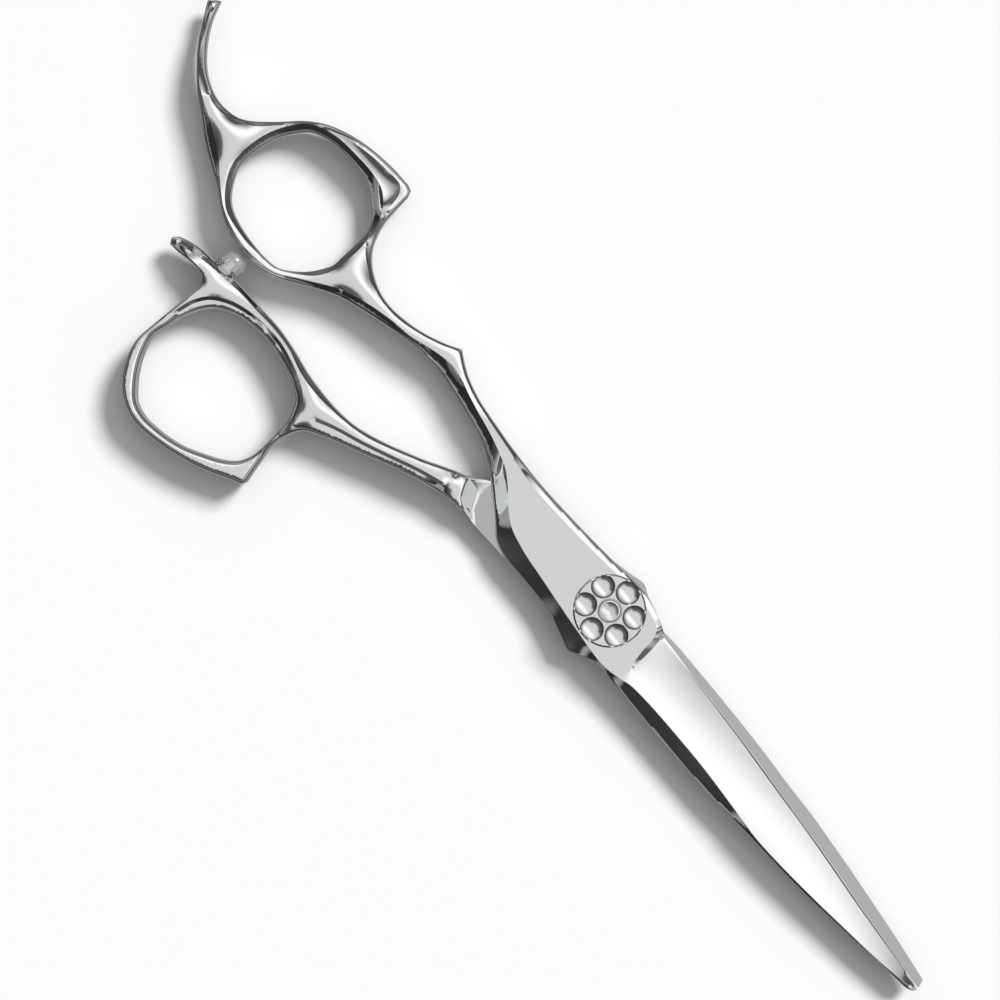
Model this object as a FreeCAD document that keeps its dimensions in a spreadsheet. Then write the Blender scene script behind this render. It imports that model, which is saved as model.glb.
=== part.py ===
import FreeCAD, Part
import math
import os

import Sketcher
from FreeCAD import Placement, Rotation, Vector

# Hair cutting shears, millimetres.
# +X runs from the pivot to the blade tips, +Y to the finger ring's side and +Z up.
# The origin is on the pivot axis, on the plane that the closed shears lie on.

# Driving dimensions: alias, value.
SIZES = [
    # levels along the pivot axis
    ("handle_depth", 6.4),
    ("thumb_bottom", 0.8),
    ("thumb_inner", 3.15),
    ("finger_inner", 3.25),
    ("finger_outer", 5.9),
    # pivot screw
    ("head_radius", 4.5),
    ("head_depth", 0.6),
    ("journal_radius", 2.5),
    ("journal_top", 3.2),
    ("key_width", 4.0),
    ("key_top", 6.7),
    ("stud_radius", 1.45),
    ("stud_top", 7.55),
    ("drill_depth", 0.8),
    ("drill_rim", 0.45),
    ("head_chamfer", 0.25),
    ("stud_chamfer", 0.15),
    ("fit_gap", 0.05),
    ("press_gap", 0.01),
    ("small_gap", 0.02),
    # washers, spring and click plate
    ("head_washer_depth", 0.15),
    ("seat_washer_depth", 0.2),
    ("washer_radius", 4.3),
    ("spring_depth", 0.4),
    ("spring_stock", 0.18),
    ("spring_gap", 0.2),
    ("click_depth", 0.25),
    # adjusting dial
    ("dial_radius", 5.1),
    ("dial_bottom", 6.2),
    ("dial_top", 7.7),
    ("dial_floor", 6.85),
    ("dial_cavity", 4.55),
    ("dimple_radius", 1.7),
    ("dimple_pitch", 3.55),
    ("dimple_depth", 0.5),
    ("dial_recess", 1.75),
    ("dial_neck_radius", 2.65),
    ("dial_neck_top", 7.0),
    ("dial_foot_chamfer", 0.1),
    ("dial_bevel_width", 0.45),
    ("dial_bevel_depth", 0.35),
    # ball race
    ("ball_radius", 0.5),
    ("race_radius", 4.1),
    ("race_width", 1.3),
    ("race_depth", 0.5),
    ("cage_depth", 0.5),
    # bush in the thumb half
    ("bush_radius", 3.1),
    # bumper between the rings
    ("bumper_place", -70.8),
    ("bumper_radius", 1.7),
    ("bumper_foot", -12.6),
    ("bumper_crown", -8.42),
    ("ferrule_radius", 1.9),
    ("ferrule_top", -11.2),
    ("ferrule_groove", 0.2),
    ("bumper_seat_depth", 3.0),
    ("peg_radius", 0.8),
    ("peg_top", -10.2),
    ("peg_foot", -14.2),
    # rounding of the handles
    ("hole_round", 1.2),
    ("thumb_hole_round", 0.6),
    ("handle_round", 0.6),
]
BALL_COUNT = 8
DIMPLE_COUNT = 6
DIMPLE_START = 36.0
GROOVE_STEPS = 6
# How far a cut starts clear of the face it goes into, and how far it runs right through.
LEAD_IN = 0.1
THROUGH = 30
RIGHT_ACROSS = 80

doc = FreeCAD.newDocument("shears")
sheet = doc.addObject("Spreadsheet::Sheet", "sizes")
for row, (alias, value) in enumerate(SIZES, start=1):
    sheet.set("A%d" % row, alias)
    sheet.set("B%d" % row, str(value))
    sheet.setAlias("B%d" % row, alias)
doc.recompute()

# ---------------------------------------------------------------- outlines
# Each outline is a closed chain of runs. Two points make a line, three make
# an arc and more make a smooth curve.

FINGER_OUTLINE = [
    # foot of the blade, where the ground blade is joined on
    [(8, 3.6), (8, -6.0)],
    [(8, -6.0), (5, -5.9), (2.4, -7.2), (0.6, -8.1)],
    # heel, underside of the shank and of the finger ring, and tang
    [(0.6, -8.1), (-5, -6.85), (-10, -6.7), (-14.5, -6.7), (-17.5, -6.0), (-20, -4.3), (-25, -1.0),
     (-30, 1.2), (-36, 2.2), (-42, 2.6), (-50, 0.95), (-57, -1.2), (-63.6, -5.4), (-70.3, -8.35),
     (-75, -7.9), (-80.6, -5.3), (-86.7, -2.6), (-91.4, 0.2), (-95, 2.5), (-98.3, 5.7), (-101, 9.1)],
    # rounded end of the tang
    [(-101, 9.1), (-101.6, 10.8), (-100.4, 11.5)],
    # hollow of the tang and crown of the ring
    [(-100.4, 11.5), (-97.7, 7.1), (-93.3, 3.45), (-89.8, 2.45), (-86.7, 2.9), (-83.8, 5.2),
     (-81.2, 8.6), (-78.8, 11.3), (-75.1, 13.4), (-70.1, 15.1), (-64, 15.65)],
    [(-64, 15.65), (-63, 15.3), (-62.6, 14.5)],
    # ring to the pointed spur
    [(-62.6, 14.5), (-61.9, 10), (-60, 6.1), (-56.8, 3.8), (-52, 3.0), (-47.6, 3.9), (-41.3, 7.0)],
    # spur to the foot of the blade
    [(-41.3, 7.0), (-38.1, 5.45), (-34.4, 4.5), (-29, 4.0), (-22.5, 3.65), (-15, 3.95), (-5, 4.85),
     (0.5, 5.55), (6.3, 4.4)],
    [(6.3, 4.4), (8, 3.6)],
]

FINGER_HOLE = [
    (-81, 2.5), (-79.5, 7.8), (-75, 11.1), (-68, 11.35), (-63.2, 8.3), (-61.8, 1.0),
    (-64.5, -4.3), (-71.5, -6.4), (-78, -4.8),
]

THUMB_OUTLINE = [
    # foot of the blade, where the ground blade is joined on
    [(8, -4.5), (8, 4.2)],
    # shoulder and visible side of the shank
    [(8, 4.2), (5, 4.4), (1.3, 5.8), (-1.5, 5.7), (-10, 3.2), (-20, 0.3), (-27, -3.6), (-32.5, -6.75),
     (-37.5, -9.4), (-42.5, -11.35), (-47, -11.95), (-53, -11.7), (-59.7, -11.0), (-65, -11.3),
     (-72.6, -12.1), (-78.5, -13.8)],
    # rounded spur
    [(-78.5, -13.8), (-78.9, -14.9), (-78.0, -15.5)],
    # underside of the spur, and outside of the thumb ring
    [(-78.0, -15.5), (-75, -14.9), (-72.9, -14.9), (-71.4, -16.4), (-71.2, -20), (-71.2, -25),
     (-70.7, -28.5), (-68.5, -32), (-64.5, -34.6), (-60.5, -34.9), (-55, -33.4), (-50, -31.2),
     (-46.6, -29.1)],
    [(-46.6, -29.1), (-45.8, -28.5), (-45.9, -27.6)],
    # ring to the hidden half of the shank, and the heel
    [(-45.9, -27.6), (-47.2, -23.5), (-47.4, -20.4), (-46.2, -17.2), (-40, -13.7), (-35, -11.1),
     (-30, -8.9), (-25, -7.4), (-17, -6.9), (-10, -6.5), (-4, -6.7), (1, -7.2), (8, -4.5)],
]

THUMB_HOLE = [
    (-69.9, -24), (-68.6, -18), (-64.2, -14.2), (-57.9, -13.35), (-51.3, -15.1), (-48.55, -20.4),
    (-48.95, -27.2), (-55, -31.6), (-61.8, -33.3), (-67.4, -29.9),
]

# Where the finger half is cut back below its inner face, to let the thumb half pass.
FINGER_UNDERCUT = [(-27.4, -2), (-26.6, 1.6), (-25, 8), (75, 8), (75, -12), (-27.4, -12)]
# Where the thumb half is cut back above its inner face.
THUMB_OVERCUT = [(-27.4, -3.2), (-27.0, -3.8), (-25.6, -6.2), (-23.7, -7.4), (-23, -12), (75, -12),
                 (75, 10), (-27.4, 10)]

# Side profiles (X, Z) that thin each half outside the pivot and outside the tang.
FINGER_TOP_CUT = [(-31, 6.45), (-24.5, 5.9), (10, 5.9), (10, 9), (-31, 9)]
THUMB_BOTTOM_CUT = [(-33, -0.05), (-25, 0.8), (10, 0.8), (10, -3), (-33, -3)]
TANG_TOP_CUT = [(-83, 6.45), (-103, 4.7), (-103, 9), (-83, 9)]
TANG_BOTTOM_CUT = [(-83, -0.05), (-103, 1.7), (-103, -3), (-83, -3)]

# Ground blades: station X, then Y of the cutting edge, of the ridge and of the spine,
# then the height of the ridge and of the bevelled spine above the inner face.
FINGER_STATIONS = [
    (8, 3.6, -4.9, -5.95, 2.65, 1.6),
    (14, 3.45, -3.9, -5.9, 2.6, 1.2),
    (25, 3.15, -3.6, -5.6, 2.45, 1.1),
    (37, 2.5, -4.1, -4.6, 2.1, 1.3),
    (50, 1.75, -3.2, -3.45, 1.8, 1.3),
    (61, 0.95, -1.75, -1.95, 1.5, 1.1),
    (68.3, 0.35, -0.35, -0.5, 1.2, 0.9),
]
THUMB_STATIONS = [
    (8, -4.5, 3.4, 4.2, 2.35, 1.4),
    (14, -4.35, 2.8, 4.4, 2.3, 1.1),
    (25, -4.1, 2.7, 4.45, 2.2, 1.0),
    (37, -3.6, 3.6, 4.1, 1.95, 1.2),
    (50, -2.5, 3.15, 3.4, 1.65, 1.2),
    (61, -1.1, 2.2, 2.4, 1.4, 1.1),
    (68.3, 0.0, 0.8, 1.0, 1.1, 0.9),
]
EDGE_LAND = 0.2


# ---------------------------------------------------------------- helpers
def start_body(name):
    """A PartDesign body whose Label is the sub-part's name."""
    body = doc.addObject("PartDesign::Body", name)
    body.Label = name
    return body


def start_sketch(body, name, plane="XY_Plane", level=None):
    """A sketch on one of the body's origin planes, raised by a sheet expression."""
    item = body.newObject("Sketcher::SketchObject", name)
    support = [feature for feature in body.Origin.OriginFeatures if feature.Role == plane][0]
    item.AttachmentSupport = [(support, "")]
    item.MapMode = "FlatFace"
    if level is not None:
        item.setExpression(".AttachmentOffset.Base.z", level)
    return item


def flat(point):
    return Vector(point[0], point[1], 0)


def run_curve(points):
    """The curve of one run of an outline."""
    if len(points) == 2:
        return Part.LineSegment(flat(points[0]), flat(points[1]))
    if len(points) == 3:
        return Part.Arc(flat(points[0]), flat(points[1]), flat(points[2]))
    curve = Part.BSplineCurve()
    curve.interpolate([flat(point) for point in points])
    return curve


def run_ends(points):
    """Which of the curve's ends, 1 or 2, the run starts and stops at: an arc is stored anticlockwise."""
    if len(points) == 3:
        start, middle, stop = [flat(point) for point in points]
        if (middle - start).cross(stop - middle).z < 0:
            return 2, 1
    return 1, 2


def draw_runs(item, runs):
    """A closed chain of runs, each joined to the next."""
    first = item.GeometryCount
    for points in runs:
        item.addGeometry(run_curve(points), False)
    for index, points in enumerate(runs):
        after = (index + 1) % len(runs)
        stop = run_ends(points)[1]
        start = run_ends(runs[after])[0]
        item.addConstraint(Sketcher.Constraint("Coincident", first + index, stop, first + after, start))


def draw_polygon(item, points):
    runs = [[points[index], points[(index + 1) % len(points)]] for index in range(len(points))]
    draw_runs(item, runs)


def draw_smooth_loop(item, points):
    """One smooth closed curve through the points."""
    curve = Part.BSplineCurve()
    curve.interpolate([flat(point) for point in points], PeriodicFlag=True)
    item.addGeometry(curve, False)


def draw_circle(item, size, centre=(0, 0)):
    """A circle whose radius is a sheet expression."""
    index = item.addGeometry(Part.Circle(flat(centre), Vector(0, 0, 1), 1.0), False)
    place = item.addConstraint(Sketcher.Constraint("Radius", index, 1.0))
    item.setExpression("Constraints[%d]" % place, size)


def read(alias):
    return float(sheet.get(alias))


def volume(body):
    doc.recompute()
    return body.Shape.Volume


def pad(body, item, name, length):
    feature = body.newObject("PartDesign::Pad", name)
    feature.Profile = item
    feature.setExpression("Length", length)
    doc.recompute()
    return feature


def pocket(body, item, name, upward=False, length=None, both_ways=False):
    """Cut along the sketch's normal and confirm that it removed something."""
    before = volume(body)
    feature = body.newObject("PartDesign::Pocket", name)
    feature.Profile = item
    if both_ways:
        feature.Length = RIGHT_ACROSS
        feature.Midplane = True
    elif length is None:
        feature.Length = THROUGH
    else:
        feature.setExpression("Length", length)
    feature.Reversed = upward
    after = volume(body)
    if after >= before - 1e-6:
        raise RuntimeError("%s cut nothing" % name)
    return feature


def side_cut(body, name, points):
    """Cut away a side profile (X, Z) right across the piece."""
    item = start_sketch(body, name + "_profile", "XZ_Plane")
    draw_polygon(item, points)
    pocket(body, item, name, both_ways=True)


def grind(body, name, stations, face, side, out):
    """Join on a ground blade; side is the cutting edge's Y sign and out the outer face's Z sign."""
    profiles = []
    for number, (place, edge, ridge, spine, ridge_depth, spine_depth) in enumerate(stations):
        item = start_sketch(body, "%s_%d" % (name, number), "YZ_Plane", str(place))
        draw_polygon(item, [
            (spine, face),
            (edge, face),
            (edge - side * EDGE_LAND / 4, face + out * EDGE_LAND),
            (ridge, face + out * ridge_depth),
            (spine, face + out * spine_depth),
        ])
        profiles.append(item)
    doc.recompute()
    before = volume(body)
    feature = body.newObject("PartDesign::AdditiveLoft", name)
    feature.Profile = profiles[0]
    feature.Sections = profiles[1:]
    feature.Ruled = True
    if volume(body) <= before:
        raise RuntimeError("%s added nothing" % name)


def revolve(body, name, points, plane="XZ_Plane", axis="V_Axis"):
    """A turned solid from a half section."""
    item = start_sketch(body, name + "_section", plane)
    draw_polygon(item, points)
    doc.recompute()
    feature = body.newObject("PartDesign::Revolution", name)
    feature.Profile = item
    feature.ReferenceAxis = (item, [axis])
    feature.Angle = 360
    doc.recompute()
    return feature


def round_edges(body, name, radius, wanted):
    """Round those edges of the handle's two flat faces that the test wants."""
    doc.recompute()
    depth = read("handle_depth")
    base = body.Tip
    chosen = []
    for index, edge in enumerate(base.Shape.Edges, start=1):
        box = edge.BoundBox
        is_level = any(abs(box.ZMin - z) < 1e-4 and abs(box.ZMax - z) < 1e-4 for z in (0, depth))
        if is_level and box.XLength > 0.2 and wanted(edge):
            chosen.append("Edge%d" % index)
    feature = body.newObject("PartDesign::Fillet", name)
    feature.Base = (base, chosen)
    feature.setExpression("Radius", radius)
    doc.recompute()
    return feature


def is_hole_edge(edge):
    """A ring hole's edge is one closed curve."""
    return len(edge.Vertexes) == 1


# ---------------------------------------------------------------- finger half
def make_finger_blade():
    body = start_body("finger_blade")
    plan = start_sketch(body, "finger_plan")
    draw_runs(plan, FINGER_OUTLINE)
    pad(body, plan, "finger_stock", "sizes.handle_depth")

    ring = start_sketch(body, "finger_ring_plan", level="sizes.handle_depth + 1")
    draw_smooth_loop(ring, FINGER_HOLE)
    pocket(body, ring, "finger_ring_hole")

    under = start_sketch(body, "finger_under_plan", level="sizes.finger_inner")
    draw_polygon(under, FINGER_UNDERCUT)
    pocket(body, under, "finger_undercut")

    side_cut(body, "finger_top_cut", FINGER_TOP_CUT)
    side_cut(body, "tang_top_cut", TANG_TOP_CUT)
    side_cut(body, "tang_bottom_cut", TANG_BOTTOM_CUT)
    grind(body, "finger_ground_blade", FINGER_STATIONS, read("finger_inner"), 1, 1)

    race = start_sketch(body, "finger_race_plan", level="sizes.finger_inner - %g" % LEAD_IN)
    draw_circle(race, "sizes.race_radius + sizes.race_width / 2")
    draw_circle(race, "sizes.race_radius - sizes.race_width / 2")
    pocket(body, race, "finger_race", upward=True, length="sizes.race_depth + %g" % LEAD_IN)

    key = start_sketch(body, "finger_key_plan", level="sizes.handle_depth")
    draw_keyhole(key, read("key_width") / 2 + read("fit_gap") / 2, read("journal_radius") + read("fit_gap") / 2)
    pocket(body, key, "finger_keyhole")

    round_edges(body, "finger_hole_round", "sizes.hole_round", is_hole_edge)
    round_edges(body, "finger_outer_round", "sizes.handle_round", lambda edge: edge.BoundBox.XMax < -20)
    return body


def draw_keyhole(item, half_width, radius):
    """A round hole with two flats, for the keyed neck of the screw."""
    half_length = math.sqrt(radius ** 2 - half_width ** 2)
    draw_runs(item, [
        [(half_length, half_width), (radius, 0), (half_length, -half_width)],
        [(half_length, -half_width), (-half_length, -half_width)],
        [(-half_length, -half_width), (-radius, 0), (-half_length, half_width)],
        [(-half_length, half_width), (half_length, half_width)],
    ])


# ---------------------------------------------------------------- thumb half
def make_thumb_blade():
    body = start_body("thumb_blade")
    plan = start_sketch(body, "thumb_plan")
    draw_runs(plan, THUMB_OUTLINE)
    pad(body, plan, "thumb_stock", "sizes.handle_depth")

    ring = start_sketch(body, "thumb_ring_plan", level="sizes.handle_depth + 1")
    draw_smooth_loop(ring, THUMB_HOLE)
    pocket(body, ring, "thumb_ring_hole")

    over = start_sketch(body, "thumb_over_plan", level="sizes.thumb_inner")
    draw_polygon(over, THUMB_OVERCUT)
    pocket(body, over, "thumb_overcut", upward=True)

    side_cut(body, "thumb_bottom_cut", THUMB_BOTTOM_CUT)
    grind(body, "thumb_ground_blade", THUMB_STATIONS, read("thumb_inner"), -1, -1)

    race = start_sketch(body, "thumb_race_plan", level="sizes.thumb_inner + %g" % LEAD_IN)
    draw_circle(race, "sizes.race_radius + sizes.race_width / 2")
    draw_circle(race, "sizes.race_radius - sizes.race_width / 2")
    pocket(body, race, "thumb_race", length="sizes.race_depth + %g" % LEAD_IN)

    bore = start_sketch(body, "thumb_bore_plan", level="sizes.handle_depth")
    draw_circle(bore, "sizes.bush_radius")
    pocket(body, bore, "thumb_bore")

    # seat for the foot of the bumper and its peg
    seat = start_sketch(body, "bumper_seat_plan", "XZ_Plane", "-sizes.bumper_foot")
    draw_circle(seat, "sizes.ferrule_radius", (read("bumper_place"), read("handle_depth") / 2))
    pocket(body, seat, "bumper_seat", length="sizes.bumper_seat_depth")
    socket = start_sketch(body, "bumper_socket_plan", "XZ_Plane", "-sizes.bumper_foot")
    draw_circle(socket, "sizes.peg_radius", (read("bumper_place"), read("handle_depth") / 2))
    pocket(body, socket, "bumper_socket", upward=True, length="sizes.bumper_foot - sizes.peg_foot")

    round_edges(body, "thumb_hole_rounded", "sizes.thumb_hole_round", is_hole_edge)
    return body


# ---------------------------------------------------------------- pivot
def make_pivot_screw():
    """Low head under the thumb half, round journal, keyed neck and threaded stud."""
    body = start_body("pivot_screw")
    head, journal, stud = read("head_radius"), read("journal_radius"), read("stud_radius")
    top = read("stud_top")
    head_edge, stud_edge = read("head_chamfer"), read("stud_chamfer")
    revolve(body, "screw_turned", [
        (0, 0), (head - head_edge, 0), (head, head_edge), (head, read("head_depth")),
        (journal, read("head_depth")), (journal, read("key_top")), (stud, read("key_top")),
        (stud, top - stud_edge), (stud - stud_edge, top), (stud - read("drill_rim"), top),
        (0, top - read("drill_depth")),
    ])
    flats = start_sketch(body, "screw_flats_plan", level="sizes.journal_top")
    half = read("key_width") / 2
    for side in (1, -1):
        draw_polygon(flats, [(-6, side * half), (6, side * half), (6, side * 6), (-6, side * 6)])
    pocket(body, flats, "screw_flats", upward=True, length="sizes.key_top - sizes.journal_top")
    return body


def make_ring(name, inner, outer, low, depth):
    """A flat washer: inner, outer, low and depth are sheet expressions."""
    disc = doc.addObject("Part::Cylinder", name + "_disc")
    disc.setExpression("Radius", outer)
    hole = doc.addObject("Part::Cylinder", name + "_hole")
    hole.setExpression("Radius", inner)
    for item in (disc, hole):
        item.setExpression("Height", depth)
    ring = doc.addObject("Part::Cut", name)
    ring.Base = disc
    ring.Tool = hole
    ring.Label = name
    ring.setExpression(".Placement.Base.z", low)
    doc.recompute()
    return ring


def make_spring_washer():
    """A dished disc spring between the seat washer and the click plate."""
    body = start_body("spring_washer")
    low = read("finger_outer") + read("seat_washer_depth") + read("small_gap")
    inner = read("journal_radius") + read("spring_gap")
    outer = read("washer_radius")
    rise = read("spring_depth") - read("spring_stock")
    stock = read("spring_stock")
    revolve(body, "spring_turned", [
        (outer, low), (outer, low + stock), (inner, low + rise + stock), (inner, low + rise),
    ])
    return body


def make_click_plate():
    """Keyed disc that rides up and down on the flats of the screw."""
    body = start_body("click_plate")
    plan = start_sketch(body, "click_plan", level="sizes.dial_floor - sizes.fit_gap - sizes.click_depth")
    draw_circle(plan, "sizes.washer_radius")
    draw_keyhole(plan, read("key_width") / 2 + read("fit_gap"), read("journal_radius") + read("fit_gap"))
    pad(body, plan, "click_stock", "sizes.click_depth")
    return body


def make_tension_dial():
    """Hollow-backed dial with a bevelled rim, six finger dimples and a recess round the stud."""
    body = start_body("tension_dial")
    radius, top, floor = read("dial_radius"), read("dial_top"), read("dial_floor")
    bore = read("stud_radius") + read("fit_gap")
    bottom, foot = read("dial_bottom"), read("dial_foot_chamfer")
    shoulder = top - read("dial_bevel_depth")
    revolve(body, "dial_turned", [
        (read("dial_cavity"), bottom), (radius - foot, bottom), (radius, bottom + foot),
        (radius, shoulder), (radius - read("dial_bevel_width"), top),
        (read("dial_recess"), top), (read("dial_recess"), shoulder), (bore, shoulder),
        (bore, read("dial_neck_top")), (read("dial_neck_radius"), read("dial_neck_top")),
        (read("dial_neck_radius"), floor), (read("dial_cavity"), floor),
    ])
    ball = (read("dimple_radius") ** 2 + read("dimple_depth") ** 2) / (2 * read("dimple_depth"))
    place = start_sketch(body, "dimple_section", "XZ_Plane")
    centre = Vector(read("dimple_pitch"), top + ball - read("dimple_depth"), 0)
    low = Vector(centre.x, centre.y - ball, 0)
    side = Vector(centre.x + ball, centre.y, 0)
    lean = Vector(centre.x + ball * math.sin(math.pi / 4), centre.y - ball * math.cos(math.pi / 4), 0)
    place.addGeometry(Part.Arc(low, lean, side), False)
    place.addGeometry(Part.LineSegment(side, centre), False)
    place.addGeometry(Part.LineSegment(centre, low), False)
    place.addConstraint(Sketcher.Constraint("Coincident", 0, 2, 1, 1))
    place.addConstraint(Sketcher.Constraint("Coincident", 1, 2, 2, 1))
    place.addConstraint(Sketcher.Constraint("Coincident", 2, 2, 0, 1))
    doc.recompute()
    before = volume(body)
    dimple = body.newObject("PartDesign::Groove", "dimple")
    dimple.Profile = place
    dimple.ReferenceAxis = (place, ["Edge3"])
    dimple.Angle = 360
    if volume(body) >= before:
        raise RuntimeError("dimple cut nothing")
    ring = body.newObject("PartDesign::PolarPattern", "dimples")
    ring.Originals = [dimple]
    ring.Axis = ([f for f in body.Origin.OriginFeatures if f.Role == "Z_Axis"][0], [""])
    ring.Angle = 360
    ring.Occurrences = DIMPLE_COUNT
    body.Tip = ring
    doc.recompute()
    body.Placement = Placement(Vector(0, 0, 0), Rotation(Vector(0, 0, 1), DIMPLE_START))
    return body


# ---------------------------------------------------------------- ball race
def make_bearing_cage():
    """Flat cage with a round pocket for each ball."""
    body = start_body("bearing_cage")
    middle = "(sizes.thumb_inner + sizes.finger_inner) / 2"
    plan = start_sketch(body, "cage_plan", level=middle + " - sizes.cage_depth / 2")
    draw_circle(plan, "sizes.race_radius + sizes.race_width / 2 - sizes.fit_gap")
    draw_circle(plan, "sizes.race_radius - sizes.race_width / 2 + sizes.fit_gap")
    pad(body, plan, "cage_stock", "sizes.cage_depth")
    pocket_plan = start_sketch(body, "cage_pocket_plan", level="sizes.handle_depth")
    draw_circle(pocket_plan, "sizes.ball_radius + sizes.small_gap", (read("race_radius"), 0))
    hole = pocket(body, pocket_plan, "cage_pocket")
    ring = body.newObject("PartDesign::PolarPattern", "cage_pockets")
    ring.Originals = [hole]
    ring.Axis = ([f for f in body.Origin.OriginFeatures if f.Role == "Z_Axis"][0], [""])
    ring.Angle = 360
    ring.Occurrences = BALL_COUNT
    body.Tip = ring
    doc.recompute()
    return body


def make_thrust_ball(number):
    angle = 2 * math.pi * (number - 1) / BALL_COUNT
    ball = doc.addObject("Part::Sphere", "thrust_ball_%d" % number)
    ball.Label = "thrust_ball_%d" % number
    ball.setExpression("Radius", "sizes.ball_radius")
    reach = read("race_radius")
    middle = (read("thumb_inner") + read("finger_inner")) / 2
    ball.Placement = Placement(Vector(reach * math.cos(angle), reach * math.sin(angle), middle), Rotation())
    return ball


def make_thumb_bush():
    """Plain sleeve pressed into the thumb half, running on the screw's journal."""
    body = start_body("thumb_bush")
    bore = read("journal_radius") + read("fit_gap")
    outer = read("bush_radius") - read("press_gap")
    low = read("thumb_bottom")
    revolve(body, "bush_turned", [
        (bore, low), (outer, low), (outer, read("thumb_inner")), (bore, read("thumb_inner")),
    ])
    return body


# ---------------------------------------------------------------- bumper
def lengthwise(body, name, points):
    """Turn a half section (radius, Y) about the bumper's axis, which runs along Y."""
    item = start_sketch(body, name + "_section", level="sizes.handle_depth / 2")
    place = read("bumper_place")
    draw_polygon(item, [(place + radius, along) for radius, along in points])
    item.addGeometry(Part.LineSegment(Vector(place, -15, 0), Vector(place, -5, 0)), True)
    doc.recompute()
    feature = body.newObject("PartDesign::Revolution", name)
    feature.Profile = item
    feature.ReferenceAxis = (item, ["Axis0"])
    feature.Angle = 360
    doc.recompute()


def make_bumper():
    """Domed silicone bumper, moulded over the peg of its ferrule."""
    body = start_body("bumper")
    radius, crown = read("bumper_radius"), read("bumper_crown")
    peg, peg_top, foot = read("peg_radius"), read("peg_top"), read("ferrule_top")
    dome = [(radius * math.cos(math.radians(turn)), crown - radius + radius * math.sin(math.radians(turn)))
            for turn in (0, 18, 36, 54, 72)]
    lengthwise(body, "bumper_turned", [(peg, foot), (radius, foot)] + dome + [
        (0, crown), (0, peg_top), (peg, peg_top)])
    return body


def make_bumper_ferrule():
    """Grooved metal ferrule and peg that hold the bumper in the thumb ring."""
    body = start_body("bumper_ferrule")
    gap = read("press_gap")
    outer, peg = read("ferrule_radius") - read("small_gap"), read("peg_radius") - gap
    foot, top = read("bumper_foot"), read("ferrule_top")
    peg_foot, peg_top = read("peg_foot") + 2 * read("fit_gap"), read("peg_top") - gap
    groove = read("ferrule_groove")
    points = [(0, peg_foot), (peg, peg_foot), (peg, foot + gap), (outer, foot + gap)]
    step = (top - foot - 2 * gap) / (GROOVE_STEPS + 1)
    for number in range(1, GROOVE_STEPS + 1):
        points.append((outer - groove * (number % 2), foot + number * step))
    points += [(outer - groove, top - gap), (peg, top - gap), (peg, peg_top), (0, peg_top)]
    lengthwise(body, "ferrule_turned", points)
    return body


# ---------------------------------------------------------------- assembly
parts = [
    make_finger_blade(),
    make_thumb_blade(),
    make_pivot_screw(),
    make_ring("head_washer", "sizes.journal_radius + sizes.fit_gap", "sizes.washer_radius",
              "sizes.head_depth", "sizes.head_washer_depth"),
    make_thumb_bush(),
    make_bearing_cage(),
    make_ring("seat_washer", "sizes.journal_radius + sizes.fit_gap", "sizes.washer_radius",
              "sizes.finger_outer", "sizes.seat_washer_depth"),
    make_spring_washer(),
    make_click_plate(),
    make_tension_dial(),
    make_bumper(),
    make_bumper_ferrule(),
]
for number in range(1, BALL_COUNT + 1):
    parts.append(make_thrust_ball(number))
doc.recompute()

# ---------------------------------------------------------------- checks and export
for item in doc.Objects:
    if "Invalid" in item.State or "Error" in item.State:
        raise RuntimeError("%s did not recompute: %s" % (item.Name, item.State))
for item in parts:
    shape = item.Shape
    if shape.isNull() or not shape.isValid() or len(shape.Solids) != 1:
        raise RuntimeError("%s is not one valid solid" % item.Label)

os.makedirs("parts", exist_ok=True)
for item in parts:
    item.Shape.exportStep("parts/%s.step" % item.Label)
    box = item.Shape.BoundBox
    print("%-16s %9.2f mm3  X %7.2f %7.2f  Y %7.2f %7.2f  Z %6.3f %6.3f" % (
        item.Label, item.Shape.Volume, box.XMin, box.XMax, box.YMin, box.YMax, box.ZMin, box.ZMax))
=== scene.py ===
import math

import bpy
import numpy as np
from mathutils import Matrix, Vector, kdtree
from mathutils.geometry import delaunay_2d_cdt


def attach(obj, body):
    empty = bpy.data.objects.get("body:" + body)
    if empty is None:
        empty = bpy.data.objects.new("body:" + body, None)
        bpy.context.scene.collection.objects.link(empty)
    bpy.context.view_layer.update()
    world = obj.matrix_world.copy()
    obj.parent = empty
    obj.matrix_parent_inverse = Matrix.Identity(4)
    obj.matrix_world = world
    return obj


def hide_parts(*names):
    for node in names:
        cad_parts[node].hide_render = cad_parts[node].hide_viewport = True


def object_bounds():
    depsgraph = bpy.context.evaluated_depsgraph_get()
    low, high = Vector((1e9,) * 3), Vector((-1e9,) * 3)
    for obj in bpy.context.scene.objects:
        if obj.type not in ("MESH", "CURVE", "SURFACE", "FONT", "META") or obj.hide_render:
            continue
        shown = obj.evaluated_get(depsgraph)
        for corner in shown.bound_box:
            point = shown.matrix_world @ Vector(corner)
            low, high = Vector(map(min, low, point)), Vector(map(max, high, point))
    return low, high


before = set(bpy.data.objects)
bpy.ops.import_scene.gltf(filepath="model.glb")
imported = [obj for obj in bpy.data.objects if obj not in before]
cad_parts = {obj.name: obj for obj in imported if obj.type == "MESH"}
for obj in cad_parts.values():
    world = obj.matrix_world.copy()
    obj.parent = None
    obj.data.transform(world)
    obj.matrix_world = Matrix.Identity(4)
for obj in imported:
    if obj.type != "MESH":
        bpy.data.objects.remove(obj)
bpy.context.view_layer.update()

# Outlines and creases are in millimetres in the row frame: +X to the tips, +Y to the finger side.
# Heights are measured outwards from the middle plane between the two halves. In the notes on
# outlines and creases, upper means towards +Y and underside means towards -Y.
MM = 0.001
MIDDLE = 3.2
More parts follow.
